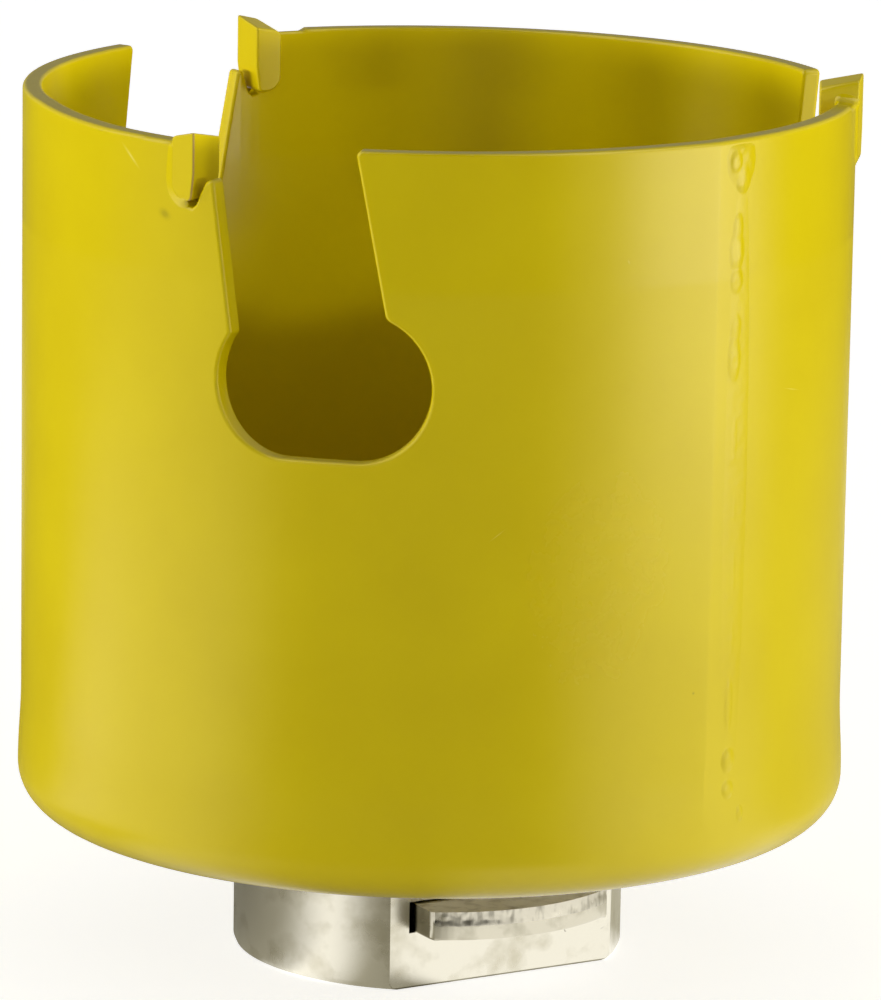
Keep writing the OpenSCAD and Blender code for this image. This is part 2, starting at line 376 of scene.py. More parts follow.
def swing_round(middle, start, stop, radius, steps):
    """Points round a middle, from one direction to another."""
    return [tuple(middle + start.slerp(stop, i / steps) * radius) for i in range(steps + 1)]


def rounded(before, corner, after, radius):
    """Points that round a corner of an outline."""
    corner = Vector(corner)
    back, on = (Vector(before) - corner).normalized(), (Vector(after) - corner).normalized()
    half = back.angle(on) / 2
    middle = corner + (back + on).normalized() * radius / math.sin(half)
    start = (corner + back * radius / math.tan(half) - middle).normalized()
    stop = (corner + on * radius / math.tan(half) - middle).normalized()
    return swing_round(middle, start, stop, radius, 5)


def junction(start, leans, side, middle, radius):
    """Points that round the corner between a neck's edge and the bowl, from the edge to the bowl."""
    down = Vector((math.sin(leans), -math.cos(leans)))
    into = side * Vector((math.cos(leans), math.sin(leans)))
    middle = Vector(middle)
    off = Vector((start, 0)) + into * radius - middle
    along = off.dot(down)
    way = -along - math.sqrt(along ** 2 - off.length_squared + (BOWL_R + radius) ** 2)
    centre = middle + off + down * way
    return swing_round(centre, -into, (middle - centre).normalized(), radius, 6)


# %% [markdown]
# Each gullet is punched in one stroke, so it is cut here by one tool: an outline with the tip's
# notch, a pocket under the tip's foot, a small fin beside it, a slanting neck and a round bowl. The
# tool is thicker than the strip, so that none of its faces lies in a face of the strip.

# %% A gullet's punch
# The neck's near edge at the rim, in mm from the tip's face, and its lean in degrees; then the far edge
NECKS = {"tip_left": (1.05, 8.3, 13.4, 11), "tip_right": (1.05, 8.3, 13.9, 10),
         "tip_back": (0.46, 10.8, 13.25, 7.8)}
# The pocket, in mm from the tip's face and down from the rim, and its way back up to the fin, where
# the first number is a share of the fin's distance from the tip
POCKET = [(-1.2, 5), (-0.85, 5.4), (-0.5, 5.5), (-0.15, 5.2)]
POCKET_RETURN = [(0.14, 4.35), (0.36, 3.75), (0.5, 3.4)]
BOWL_LEAD = 10.83 * MM       # the bowl's middle, from the tip's face
BOWL_SPREAD = 5.8 * MM
BOWL_DEPTH = 18.65 * MM
NEAR_CORNER = 0.4 * MM
FAR_CORNER = 0.95 * MM
RIM_CORNER = 0.45 * MM
FIN_CORNER = 0.36 * MM
FIN_DEPTH = 2.95 * MM
TIP_LEN = 2.4 * MM
SEAT_DEPTH = 5 * MM
HEEL = 0.8 * MM              # the seat's lower back corner is cut off by this much
PAST = 2 * MM                # tools reach this far past the strip
RIM_GAP = 0.005 * MM         # the corner at the rim starts this far over it, for a clean cut
DOWNWARDS = 1.5 * math.pi


def outline_tool(points):
    """A punch with a straight-sided outline: one face, extruded through the strip."""
    punch = from_points("punch", [(x, -PAST, z) for x, z in points], faces=[range(len(points))])
    start_edit(punch, "FACE")
    bpy.ops.mesh.select_all(action="SELECT")
    through = (0, WALL_T + 2 * PAST, 0)
    bpy.ops.mesh.extrude_region_move(TRANSFORM_OT_translate={"value": through})
    face_outwards()
    end_edit()
    return punch


def gullet(place, near, near_lean, far, far_lean):
    """The outline of a whole punch: notch, pocket, fin, neck, bowl and the corner at the rim."""
    near, far = place + near * MM, place + far * MM
    near_lean, far_lean = math.radians(near_lean), math.radians(far_lean)
    left = (place + BOWL_LEAD - BOWL_SPREAD / 2, -BOWL_DEPTH)
    right = (place + BOWL_LEAD + BOWL_SPREAD / 2, -BOWL_DEPTH)
    fin = near + FIN_DEPTH * math.tan(near_lean)
    pocket = [(place + x * MM, -z * MM) for x, z in POCKET]
    pocket += [(place + share * (fin - place), -z * MM) for share, z in POCKET_RETURN]
    down_near = junction(near, near_lean, -1, left, NEAR_CORNER)
    down_far = junction(far, far_lean, 1, right, FAR_CORNER)
    start = math.atan2(down_near[-1][1] - left[1], down_near[-1][0] - left[0])
    stop = math.atan2(down_far[-1][1] - right[1], down_far[-1][0] - right[0])
    far_top = (far - RIM_GAP * math.tan(far_lean), RIM_GAP)
    rim = rounded(down_far[0], far_top, (far + PAST, RIM_GAP), RIM_CORNER)
    return [
        (place - TIP_LEN, PAST), (place - TIP_LEN, -SEAT_DEPTH + HEEL),
        (place - TIP_LEN + HEEL, -SEAT_DEPTH), *pocket,
        *rounded(pocket[-1], (fin, -FIN_DEPTH), down_near[0], FIN_CORNER), *down_near,
        *arc(left, BOWL_R, start, DOWNWARDS)[1:],
        *arc(right, BOWL_R, DOWNWARDS, 2 * math.pi + stop)[:-1],
        *reversed(down_far), *rim, (rim[-1][0], PAST)]


print("points in a gullet's outline:", len(gullet(0, *NECKS["tip_left"])))

# %% [markdown]
# The strip starts as a thin box, and the three punches are cut out of it. A grinding wheel has then
# lowered the rim behind each tip. It leans outwards, so the rim is lower outside. That is a cut by
# one more tool, whose lower face is tilted.

# %% Punch the strip
# The rim behind a tip, as distances from the tip's back and depths in mm
DIPS = {"tip_left": [(0, 0.42), (8, 0.36), (14, 0.2), (20, 0)], "tip_right": [(0, 0.15), (1, 0)],
        "tip_back": [(0, 0.1), (1, 0)]}
DIP_DEPTH = 0.3 * MM         # the wheel takes this much more at the outside
DIP_LEN = 3 * MM
DIP_LEFT = 0.9               # share of the dip's depth at its far end

strip = add_box((0, 0, -strip_h), (girth, WALL_T, 0))
bpy.ops.object.transform_apply()
tip_places = {name: (math.radians(angle) - SEAM_ANGLE) % (2 * math.pi) * wall_r
              for name, angle in TIP_ANGLES.items()}
for name, place in tip_places.items():
    back = place - TIP_LEN
    levels = [(back - x * MM, -z * MM) for x, z in DIPS[name]]
    cut(strip, outline_tool([(back + PAST, PAST), (back + PAST, levels[0][1]), *levels,
                             (levels[-1][0] - PAST, PAST)]))
    lower = min(z for x, z in levels)
    dip = outline_tool([(back + PAST, PAST), (back + PAST, lower),
                        (back - DIP_LEN, lower * DIP_LEFT), (back - DIP_LEN - 2 * PAST, PAST)])
    for vertex in dip.data.vertices:
        vertex.co.z -= (DIP_DEPTH + lower / 2) * (1 - vertex.co.y / WALL_T)
    cut(strip, dip)
    cut(strip, outline_tool(gullet(place, *NECKS[name])))
print("punched strip:", len(strip.data.vertices), "vertices")

# %% [markdown]
# The punch enters from the outside and drags the edge in with it, so the outer edges are well
# rounded, and paint rounds the inner ones. Both are bevels, made on the flat strip, round the
# outlines of its two faces. The strip's ends and its lower edge stay sharp, because the ends meet
# at the weld and the lower edge is hidden.

# %% Round the punched edges
DIE_ROLL = 0.34 * MM
INNER_EDGE = 0.3 * MM


def is_face_outline(edge, depth):
    """True for a sharp edge round the strip's face at a depth, apart from its ends and its foot."""
    on_face = everywhere(edge, lambda p: abs(p.y - depth) < TINY)
    at_end = any(everywhere(edge, lambda p: abs(p.x - end) < TINY) for end in (0, girth))
    at_foot = everywhere(edge, lambda p: p.z < -strip_h + TINY)
    return on_face and is_sharp(edge, 45) and not at_end and not at_foot


start_edit(strip)
for depth, size in ((0, DIE_ROLL), (WALL_T, INNER_EDGE)):
    round_edges(strip, "outline edges", lambda e: is_face_outline(e, depth), size, 4, clamp=False)
end_edit()

# %% [markdown]
# A flat face can't bend, so the strip is sliced before it is rolled: every millimetre round the cup,
# and more finely where the lower edge turns in. Slicing with bisect keeps every outline as it is.
# The faces at the strip's two ends are deleted, so that the rolled wall can be merged there.

# %% Slice and roll the strip
SLICE = 1 * MM
FINE = 0.4 * MM              # the slices' height where the lower edge turns in
start_edit(strip)
slice_step = girth / round(girth / SLICE)
slice_along(ACROSS, slice_step, girth - slice_step / 2, slice_step)
slice_mesh((girth + CREST_AT, 0, 0), ACROSS)
slice_along(UPWARDS, edge_z + SWELL_TOP - rim_z, -straight - CORNER_R * math.pi / 2 - FINE, -FINE)
bpy.ops.mesh.select_mode(type="FACE")
print("end faces", pick(strip, "faces", lambda f: everywhere(f, lambda p: p.x < TINY)
                        or everywhere(f, lambda p: p.x > girth - TINY)))
bpy.ops.mesh.delete(type="FACE")
bpy.ops.mesh.select_mode(type="EDGE")
print("crease edges", pick(strip, "edges", lambda e: everywhere(
    e, lambda p: abs(p.x - girth - CREST_AT) < TINY and p.y < TINY and p.z < -DIE_ROLL)))
bpy.ops.mesh.mark_sharp()
end_edit()
roll_mesh(strip)
start_edit(strip, "VERT")
bpy.ops.mesh.select_all(action="SELECT")
bpy.ops.mesh.remove_doubles(threshold=TINY)
end_edit()
print("rolled wall:", len(strip.data.vertices), "vertices")

# %% [markdown]
# Handling leaves marks on paint: a few scratches and specks, and dull smudges that a hand has wiped
# on. Each could be drawn on a picture. Here it is a soft ellipse at a measured place on the wall,
# made by a gradient ball that a Mapping node moves, turns and stretches, and the marks of one kind
# are joined by taking the strongest.

# %% Marks on the wall
# Angle in degrees, depth below the rim, half length and half width in mm, slope in degrees
SCRATCHES = [(-74.6, 2.2, 1.8, 0.2, 42), (-3.6, 8.8, 0.32, 0.12, 65), (-21, 30, 1.1, 0.07, -38),
             (27, 21, 1.6, 0.08, 12), (104, 33, 3.2, 0.08, 24), (150, 12, 2.1, 0.1, -50),
             (205, 40, 4.0, 0.08, 15), (-118, 27, 2.4, 0.1, 66)]
# The first stain is a dark patch just below and behind the left tip's heel.
STAINS = [(-68.3, 6.3, 0.95, 0.65, 20), (-37, 11.9, 0.2, 0.35, 0), (8, 44, 0.22, 0.2, 0),
          (128, 18, 0.5, 0.4, 0), (235, 30, 0.4, 0.3, 0)]
SMUDGES = [(-6.8, 34, 8, 11, 10), (121, 24, 7, 9, -20), (-140, 36, 8, 9, 30)]
MARK_DEEP = 2 * MM           # a mark's ball reaches this far in and out of the wall


def patch(tree, place, angle, down, half_l, half_w, slope):
    """A soft ellipse on the wall, 1 in its middle and 0 at its border."""
    around = math.radians(angle)
    centre = (wall_r * math.sin(around), -wall_r * math.cos(around), rim_z - down * MM)
    moved = add(tree, "ShaderNodeMapping", {
        "Vector": place, "Location": centre, "Rotation": (0, math.radians(slope), around),
        "Scale": (half_l * MM, MARK_DEEP, half_w * MM)}, vector_type="TEXTURE")
    ball = add(tree, "ShaderNodeTexGradient", [moved.outputs["Vector"]],
               gradient_type="QUADRATIC_SPHERE")
    return ball.outputs["Fac"]


def patches(tree, place, specs):
    """The strongest of several patches."""
    found = [patch(tree, place, *spec) for spec in specs]
    while len(found) > 1:
        both = add(tree, "ShaderNodeMath", [found.pop(), found.pop()], operation="MAXIMUM")
        found.append(both.outputs[0])
    return found[0]


print("marks:", len(SCRATCHES), "scratches,", len(STAINS), "stains,", len(SMUDGES), "smudges")

# %% [markdown]
# The enamel is a satin yellow paint over rolled steel. The eye reads it by three things: a strong
# colour, a soft milky shine where a softbox is mirrored, and a faint unevenness of the film that
# paint people call orange peel. Orange peel has waves of one to three millimetres here, and they
# are very low, so the bump is weak. Near the rim the film is smoother, down to a line, because it
# was sprayed twice there.

# %% Satin enamel
ENAMEL = "#DAC500"
ENAMEL_DEEP = "#CFB800"
RUBBED = "#E8D75A"
GRIME = "#7A6C10"
PEEL_WAVE = 2.2 * MM
PEEL_DEPTH = 0.1 * MM
PEEL_STRENGTH = 0.15
TINT_WAVE = 9 * MM
STREAK_WAVE = 1.6 * MM
SMOOTH_BAND = 10.7 * MM      # depth below the rim of the line
SMOOTH_FADE = 0.6 * MM
SMOOTHER = 0.06
SMUDGE_DULL = 0.1
STAIN_SHADE = 0.4


def new_material(name):
    """A material, its node tree, and the place on the object that its patterns read."""
    material = bpy.data.materials.new(name)
    material.use_nodes = True
    tree = material.node_tree
    return material, tree, add(tree, "ShaderNodeTexCoord").outputs["Object"]


def dress(tree, tint, rough, height, strength, depth):
    """Gives a material's shader a colour, a roughness and a bump."""
    bump = add(tree, "ShaderNodeBump", {"Strength": strength, "Distance": depth, "Height": height})
    shader = tree.nodes["Principled BSDF"]
    for socket, source in (("Base Color", tint), ("Roughness", rough), ("Normal", bump.outputs[0])):
        tree.links.new(source, shader.inputs[socket])


def smudged(tree, place, rough):
    """Roughness of the enamel with its streaky smudges."""
    wiped = add(tree, "ShaderNodeTexNoise", {"Vector": place, "Scale": 1 / STREAK_WAVE, "Detail": 3})
    streaks = add(tree, "ShaderNodeMapRange", [wiped.outputs["Fac"], 0.45, 0.6])
    smudge = add(tree, "ShaderNodeMath", [patches(tree, place, SMUDGES), streaks.outputs[0]],
                 operation="MULTIPLY")
    return add(tree, "ShaderNodeMath", [smudge.outputs[0], SMUDGE_DULL, rough],
               operation="MULTIPLY_ADD").outputs[0]


def enamel_material(name, colour, deep, roughness, marked=False):
    """Satin enamel with orange peel, a little uneven colour and, on the wall, its marks."""
    material, tree, place = new_material(name)
    cloudy = add(tree, "ShaderNodeTexNoise", {"Vector": place, "Scale": 1 / TINT_WAVE, "Detail": 3})
    layers = [(cloudy.outputs["Fac"], linear(deep))]
    height = add(tree, "ShaderNodeSeparateXYZ", [place]).outputs["Z"]
    line = rim_z - SMOOTH_BAND
    rough = add(tree, "ShaderNodeMapRange", [height, line - SMOOTH_FADE, line, roughness,
                                             roughness - SMOOTHER]).outputs[0]
    if marked:
        rough = smudged(tree, place, rough)
        soil = add(tree, "ShaderNodeMapRange", [patches(tree, place, STAINS), 0, 0.6, 0, STAIN_SHADE])
        layers.append((patches(tree, place, SCRATCHES), linear(RUBBED)))
        layers.append((soil.outputs[0], linear(GRIME)))
    peel = add(tree, "ShaderNodeTexNoise", {"Vector": place, "Scale": 1 / PEEL_WAVE, "Detail": 2})
    tint = lay_over(tree, linear(colour), layers)
    dress(tree, tint, rough, peel.outputs["Fac"], PEEL_STRENGTH, PEEL_DEPTH)
    return material


cup_enamel = enamel_material("satin_enamel_on_steel", ENAMEL, ENAMEL_DEEP, 0.27, marked=True)
finish_piece("painted_wall", strip, "saw", cup_enamel, ["saw_wall"])

# %% [markdown]
# The strip's ends are welded edge to edge, by hand. The bead is a string of small frozen pools: wide
# ones near the rim, slim ones below, then hardly more than a line. It could be sculpted. Here it is a
# fine grid on the flat strip, raised by a few rules, and rolled by the same function as the wall.

# %% Weld bead
BEAD_AT = 0.3 * MM
BEAD_HALF = 2.3 * MM
BEAD_TOP = 0.35 * MM
BEAD_END = 57.5 * MM
BEAD_FADE = 0.3 * MM         # the bead rises to its full height this far in from its grid's border
BEAD_SINK = 0.02 * MM        # where the bead is flat, its grid lies this far below the paint
RIPPLE = 0.25
RIPPLE_WAVE = 0.7 * MM
# Place along the strip, depth below the rim, half width, half length and height, in mm
POOLS = [
    (0.3, 1.7, 1.9, 2.5, 0.16), (-0.35, 1.7, 0.9, 1.3, 0.24), (0.5, 3.0, 1.1, 1.6, 0.18),
    (0.1, 7.0, 0.7, 1.5, 0.11), (0.0, 8.9, 1.0, 2.2, 0.13), (0.05, 11.2, 0.9, 1.4, 0.12),
    (0.1, 15.0, 0.8, 1.6, 0.11), (0.0, 17.4, 0.9, 2.6, 0.13), (0.2, 24.0, 0.5, 3.4, 0.08),
    (0.4, 29.5, 0.45, 3.2, 0.07), (0.5, 35.0, 0.45, 3.6, 0.07), (0.5, 40.0, 0.45, 3.0, 0.07),
    (0.3, 45.5, 0.6, 3.2, 0.11), (0.4, 50.1, 0.9, 1.2, 0.18), (0.4, 52.5, 0.8, 0.9, 0.14),
    (1.8, 54.7, 0.5, 0.9, 0.08), (0.5, 28, 1.7, 33, 0.06)]


def pool(along, down, at, depth, half_w, half_l, height):
    """Height of one frozen weld pool at a point of the strip."""
    near = max(0, 1 - ((along - at) / half_w) ** 2 - ((down - depth) / half_l) ** 2)
    return height * near * near * (3 - 2 * near)


def bead_height(along, down):
    """Height of the highest pool at a point of the strip, with a slight ripple."""
    ripple = 1 + RIPPLE * noise.noise(Vector((along, down, 0)) / RIPPLE_WAVE)
    return ripple * max(pool(along, down, *(value * MM for value in spec)) for spec in POOLS)


bpy.ops.mesh.primitive_grid_add(x_subdivisions=42, y_subdivisions=400, size=1,
                                location=(BEAD_AT, 0, -(BEAD_TOP + BEAD_END) / 2),
                                rotation=(math.pi / 2, 0, 0))
bead = bpy.context.object
bead.scale = (2 * BEAD_HALF, BEAD_END - BEAD_TOP, 1)
bpy.ops.object.transform_apply()
for vertex in bead.data.vertices:
    along, down = vertex.co.x, -vertex.co.z
    inside = min(BEAD_HALF - abs(along - BEAD_AT), down - BEAD_TOP, BEAD_END - down)
    rise = bead_height(along, down) * max(0, min(1, inside / BEAD_FADE))
    vertex.co.y = BEAD_SINK - rise
roll_mesh(bead)
finish_piece("weld_bead", bead, "saw", cup_enamel, angle=60)

# %% [markdown]
# A tip is a small block of carbide, ground after brazing. Its top falls away backwards and inwards
# from the leading outer corner, which does the cutting, and its outer face falls away too, so that
# only the leading edge rubs. A block is cut by planes with bisect, which is how the grinding wheel
# cuts the real one. The enamel is worn thin along the leading edge, where the braze shows through.

# %% Tips
TIP_RISES = {"tip_left": 0.5, "tip_right": 1.9, "tip_back": 1.3}     # heights over the rim, in mm
TIP_OUT = 0.5 * MM
TIP_IN = 1.5 * MM
TOP_SLOPE = math.radians(11)
RELIEF = math.radians(10)
BACK_BEVEL = 0.7 * MM
FACE_DEPTH = 2.8 * MM        # below this the leading face slopes back, to the foot
FOOT_BACK = 0.3 * MM
FOOT_ROUND = 0.4 * MM
BACK_ROUND = 0.35 * MM
TIP_EDGE = 0.2 * MM
WORN_FACING = 0.2            # faces are worn that look this much both forwards and outwards
tip_enamel = enamel_material("enamel_on_carbide", "#D8C306", ENAMEL_DEEP, 0.36)
worn_enamel = enamel_material("enamel_worn_to_braze", "#C6A552", "#B9984A", 0.42)


def make_tip(name, angle, rise):
    """Grinds a tip from a block that stands at -Y, and turns it to its place on the rim."""
    outer = wall_r + TIP_OUT
    inner = wall_r - WALL_T - TIP_IN
    low, high = rim_z - SEAT_DEPTH, rim_z + rise
    foot_top = rim_z - FACE_DEPTH
    tip = add_box((-TIP_LEN, -outer, low), (0, -inner, high))
    bpy.ops.object.transform_apply()
    start_edit(tip)
    trim((0, -outer, high), (-math.sin(TOP_SLOPE), math.sin(TOP_SLOPE), math.cos(TOP_SLOPE)))
    trim((0, -outer, 0), (-math.sin(RELIEF), -math.cos(RELIEF), 0))
    trim((-TIP_LEN, 0, rim_z - DIP_DEPTH), (-(rise + DIP_DEPTH), 0, BACK_BEVEL))
    trim((-TIP_LEN, 0, low + HEEL), (-1, 0, -1))
    trim((0, 0, foot_top), (SEAT_DEPTH - FACE_DEPTH, 0, -FOOT_BACK))
    round_edges(tip, "foot edges", lambda e: abs(e.verts[0].co.x - e.verts[1].co.x) < TINY
                and everywhere(e, lambda p: p.z < foot_top - TINY), FOOT_ROUND, 4)
    round_edges(tip, "back edge", lambda e: everywhere(
        e, lambda p: p.z > rim_z and -TIP_LEN + TINY < p.x < -TINY), BACK_ROUND, 4)
    round_edges(tip, "sharp edges", lambda e: is_sharp(e, 30), TIP_EDGE, 3)
    bpy.ops.mesh.select_all(action="SELECT")
    # With no window, this operator turns the other way
    bpy.ops.transform.rotate(value=-math.radians(angle), orient_axis="Z", center_override=(0, 0, 0))
    end_edit()
    finish_piece("painted_" + name, tip, "saw", tip_enamel, [name])
    turned = Matrix.Rotation(math.radians(angle), 3, "Z")
    leading, outward = turned @ Vector((1, 0, 0)), turned @ Vector((0, -1, 0))
    paint_faces(tip, worn_enamel, lambda f: f.normal.dot(leading) > WORN_FACING
                and f.normal.dot(outward) > WORN_FACING)
    return tip


# %% [markdown]
# Silver solder and paint leave a skin where a tip meets the wall. Outside it is nearly flush, and
# hides the tip's foot. It crosses the rim behind the tip, as high as the solder ran, and comes down
# the inside as a hollow fillet. Its path is laid out on the flat strip, where the corners are
# square, and each point of the path carries a small profile.

# %% Solder skins
SKIN_STEPS = 6
# Share, sine and cosine of the four steps of a quarter turn
TURNS = [(i / 4, math.sin(math.pi * i / 8), math.cos(math.pi * i / 8)) for i in range(5)]
SKIN_LAP = 0.2 * MM          # the skin laps over the tip's outer face
SKIN_OVER = 0.035 * MM       # and stands this far out of it
SKIN_THIN = 0.05 * MM
SKIN_SINK = 0.02 * MM
FILLET_IN = 0.6 * MM
FILLET_TOPS = {"tip_left": 0.05, "tip_right": 0.9, "tip_back": 0.4}
LOWERED = {"tip_left": 0.5, "tip_right": 0.35, "tip_back": 0.35}     # the rim's outer edge behind a tip


def tip_proud(along):
    """How far a tip's outer face stands out of the wall, behind its leading edge."""
    return TIP_OUT + along * math.tan(RELIEF) + along * along / (2 * wall_r)


def skin_path(name):
    """The path's stops: along, depth, down, the ways off tip and wall, and run, rise and lap."""
    back, side = Vector((-1, 0, 0)), Vector((0, -1, 0))
    foot, heel = Vector((0, 0, -1)), Vector((-1, 0, -1)).normalized()
    stops = []
    for along, down, away, run in (
            (-0.75 * MM, SEAT_DEPTH, foot, 0.3 * MM), (-1 * MM, SEAT_DEPTH, foot, 0.7 * MM),
            (-TIP_LEN + HEEL, SEAT_DEPTH, foot, 0.9 * MM),
            (-TIP_LEN + HEEL / 2, SEAT_DEPTH - HEEL / 2, heel, 0.9 * MM),
            (-TIP_LEN, SEAT_DEPTH - HEEL, back, 0.9 * MM), (-TIP_LEN, 2.4 * MM, back, 0.8 * MM),
            (-TIP_LEN, 1 * MM, back, 0.6 * MM)):
        stops.append((along, 0, down, away, side, run, tip_proud(along) + SKIN_OVER, SKIN_LAP))
    outside = stops[-1]
    slope = BACK_BEVEL / (TIP_RISES[name] * MM + DIP_DEPTH)
    top = FILLET_TOPS[name] * MM
    for part, sine, cosine in TURNS:
        off = Vector((slope * sine, -cosine, sine))
        depth = DIE_ROLL * (1 - cosine)
        down = LOWERED[name] * MM + DIE_ROLL * (1 - sine)
        run, rise = [size + (max(top, SKIN_THIN) - size) * part for size in outside[5:7]]
        stops.append((-TIP_LEN, depth, down, back, off, run, rise, SKIN_LAP * (1 - part)))
    for part, sine, cosine in TURNS:
        off = Vector((slope * cosine, sine, cosine))
        depth = WALL_T - INNER_EDGE * (1 - sine)
        down = DIPS[name][0][1] * MM + INNER_EDGE * (1 - cosine)
        size = top + (FILLET_IN - top) * part
        stops.append((-TIP_LEN, depth, down, back, off, size, size, 0))
    for along, down, away, run in (
            (-TIP_LEN, 2 * MM, back, FILLET_IN), (-TIP_LEN, SEAT_DEPTH - HEEL, back, FILLET_IN),
            (-TIP_LEN + HEEL / 2, SEAT_DEPTH - HEEL / 2, heel, FILLET_IN),
            (-TIP_LEN + HEEL, SEAT_DEPTH, foot, FILLET_IN), (-TIP_LEN / 2, SEAT_DEPTH, foot, 0.4 * MM),
            (-0.7 * MM, SEAT_DEPTH, foot, 0.15 * MM)):
        stops.append((along, WALL_T, down, away, -side, run, run, 0))
    return stops


def make_skin(name, place):
    """Sweeps a profile along the path: an S-curve where the skin laps, and a hollow arc elsewhere."""
    points, faces = [], []
    stops = skin_path(name)
    for along, depth, down, away, off, run, rise, lap in stops:
        corner = Vector((place + along, depth, -down))
        flush = lap / SKIN_LAP
        for step in range(SKIN_STEPS + 1):
            u = step / SKIN_STEPS
            reach = run - (run + lap) * (flush * u + (1 - flush) * math.sin(math.pi / 2 * u))
            hollow = 1 - math.cos(math.pi / 2 * u)
            climb = rise * (flush * u * u * (3 - 2 * u) + (1 - flush) * hollow)
            points.append(roll(corner + away * reach + off * (climb - SKIN_SINK)))
    row = SKIN_STEPS + 1
    for i in range(0, (len(stops) - 1) * row, row):
        for k in range(i, i + SKIN_STEPS):
            faces.append((k, k + 1, k + row + 1, k + row))
    skin = from_points(name, points, faces=faces)
    use(skin, "SUBSURF", levels=1, render_levels=1)
    finish_piece("solder_" + name, skin, "saw", cup_enamel, angle=60)


for name, angle in TIP_ANGLES.items():
    make_skin(name, tip_places[name])
    tip = make_tip(name, angle, TIP_RISES[name] * MM)
    middle = sum((Vector(corner) for corner in tip.bound_box), Vector()) / 8
    print(name, "centre", [round(v / MM, 1) for v in middle])

# %% [markdown]
# Hub, plate and springs are steel, and the first two are plated with nickel, a slightly yellow and
# satin metal. The eye knows it by soft mirrored bands, broken by dull patches and a few fine pits.
# One noise makes the patches, the roughness and the very low dents together, because on the real
# plate they belong together. On the plate's broken edge the noise is stretched upwards.

# %% Satin nickel
PIT = "#4A463A"
PIT_GAP = 0.8 * MM
DENT_DEPTH = 0.05 * MM


def nickel_material(name, colour, dull, roughness, patch_wave, streak=1.0, dent=0.12):
    """Satin nickel with dull patches, fine dents and pits, drawn out upwards if streak is under 1."""
    material, tree, place = new_material(name)
    drawn = add(tree, "ShaderNodeMapping", {"Vector": place, "Scale": (1, 1, streak)})
    mottle = add(tree, "ShaderNodeTexNoise", {"Vector": drawn.outputs["Vector"],
                                              "Scale": 1 / patch_wave, "Detail": 4}).outputs["Fac"]
    patchy = add(tree, "ShaderNodeMapRange", [mottle, 0.5, 0.8])
    specks = add(tree, "ShaderNodeTexNoise", {"Vector": place, "Scale": 1 / PIT_GAP, "Detail": 0})
    pits = add(tree, "ShaderNodeMapRange", [specks.outputs["Fac"], 0.86, 0.9])
    tint = lay_over(tree, linear(colour), [(patchy.outputs[0], linear(dull)),
                                           (pits.outputs[0], linear(PIT))])
    rough = add(tree, "ShaderNodeMapRange", [mottle, 0.3, 0.7, roughness - 0.03, roughness + 0.04])
    dress(tree, tint, rough.outputs[0], mottle, dent, DENT_DEPTH)
    tree.nodes["Principled BSDF"].inputs["Metallic"].default_value = 1
    print(name, "has patches of", round(patch_wave / MM, 1), "mm")
    return material


hub_nickel = nickel_material("satin_nickel_plate", "#E2DECF", "#BDB7A0", 0.24, 3.5 * MM, dent=0.02)
# Painted shade: this dark nickel stands for the shade under the cup that the filed edge mirrors.
shade_painted_nickel = nickel_material("nickel_painted_dark_on_the_filed_edge", "#8F8A76", "#6B6656", 0.4, 1.5 * MM)
plate_nickel = nickel_material("nickel_on_sheared_steel", "#CFCAB8", "#A39E8A", 0.2, 2.5 * MM)
# Partly painted light: the die's scuff is real, and this paler colour brightens the plate's top.
scuffed_and_lightened_nickel = nickel_material("nickel_scuffed_by_the_die_and_painted_paler", "#E4E0D0", "#ADA893", 0.32, 1.2 * MM)
broken_nickel = nickel_material("nickel_on_broken_steel", "#D2CDBC", "#5F5B4C", 0.3, 0.7 * MM, 0.3)
spring_steel = nickel_material("bright_drawn_spring_steel", "#B9B8B2", "#8E8C86", 0.28, 0.6 * MM)

# %% [markdown]
# The hub is turned from bar and milled flat on one side. Its profile is spun round the axis, and the
# flat, the plate's slot, the pin's hole and the arbor's hexagon are cut with tools, as a machinist
# would. Plating rounds the flat's edges a little. Its lower edge was also broken with a file before
# it was plated. The dark line along the hub's foot is painted shade: that edge gets a darker nickel
# which stands for the shade under the cup that it mirrors.

# %% Hub
HUB_R = hub_high.x
HUB_EDGE = 0.6 * MM
HUB_EDGE_MID = 0.18 * MM     # the rounded lower edge passes this far inside the corner
SPIGOT_R = 10 * MM
COLLAR_R = 11.8 * MM
COLLAR_EDGE = 0.5 * MM
FLAT_Y = hub_low.y
FLAT_EDGE = 0.2 * MM
FILED_EDGE = 0.42 * MM
# Painted shade: the dark nickel on the filed edge reaches this far to both sides.
PAINTED_SHADE_HALF = 10.4 * MM       # the filed edge reaches this far to both sides
SOCKET_FLATS = 11.2 * MM
SOCKET_REACH = 40 * MM
SLOT_W = 17.3 * MM
SLOT_LOW, SLOT_HIGH = 4.7 * MM, 7.3 * MM
SLOT_BACK = 11 * MM
PIN_X, PIN_Y, PIN_R = 6 * MM, -9 * MM, 1 * MM
PIN_MID, PIN_DEEP = 3.5 * MM, 12 * MM
OUTSIDE = 20 * MM            # cutters start this far from the axis


def spin_profile(name, points, steps=128):
    """Spins a closed profile of (radius, height) points round Z."""
    count = len(points)
    piece = from_points(name, [(r, 0, z) for r, z in points],
                        edges=[(i, (i + 1) % count) for i in range(count)])
    start_edit(piece)
    bpy.ops.mesh.select_all(action="SELECT")
    bpy.ops.mesh.spin(steps=steps, angle=2 * math.pi, center=(0, 0, 0), axis=(0, 0, 1))
    bpy.ops.mesh.select_all(action="SELECT")
    bpy.ops.mesh.remove_doubles(threshold=TINY)
    face_outwards()
    end_edit()
    return piece


def is_flat_border(edge):
    """True for the edges round the milled flat."""
    on_flat = everywhere(edge, lambda p: abs(p.y - FLAT_Y) < TINY and p.z < disc_low.z - TINY)
    return on_flat and is_sharp(edge, 20)


